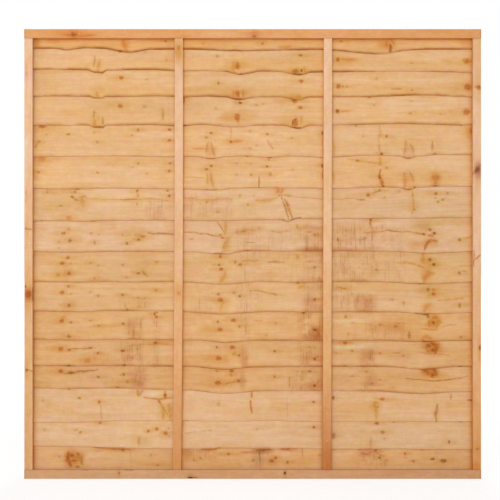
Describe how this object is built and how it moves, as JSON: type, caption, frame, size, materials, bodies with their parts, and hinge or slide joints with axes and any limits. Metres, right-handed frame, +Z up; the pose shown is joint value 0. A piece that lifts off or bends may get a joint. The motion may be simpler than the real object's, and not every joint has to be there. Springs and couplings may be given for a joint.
{
  "type": "overlap fence panel",
  "caption": "Flat timber fence panel of horizontal overlapping boards with wavy lower edges, held between front and back frames of rails, stiles and battens.",
  "frame": {"origin": "foot of the left edge, halfway through the panel's thickness, on the flat end face that goes into the left post", "axes": "+X along the panel from its left edge to its right edge, +Y from its front to its back, +Z up"},
  "size_m": [1.828, 0.046, 1.8],
  "materials": {
    "frame_timber": "rough sawn softwood, dip treated golden",
    "board_timber": "rough sawn softwood boards, dip treated golden, with knots"
  },
  "bodies": {
    "root": {"board_01": "board_timber", "board_02": "board_timber", "board_03": "board_timber", "board_04": "board_timber", "board_05": "board_timber", "board_06": "board_timber", "board_07": "board_timber", "board_08": "board_timber", "board_09": "board_timber", "board_10": "board_timber", "board_11": "board_timber", "board_12": "board_timber", "board_13": "board_timber", "board_14": "board_timber", "board_15": "board_timber", "board_16": "board_timber", "front_top_rail": "frame_timber", "front_bottom_rail": "frame_timber", "front_left_stile": "frame_timber", "front_left_batten": "frame_timber", "front_right_batten": "frame_timber", "front_right_stile": "frame_timber", "back_top_rail": "frame_timber", "back_bottom_rail": "frame_timber", "back_left_stile": "frame_timber", "back_left_batten": "frame_timber", "back_right_batten": "frame_timber", "back_right_stile": "frame_timber"}
  },
  "joints": []
}
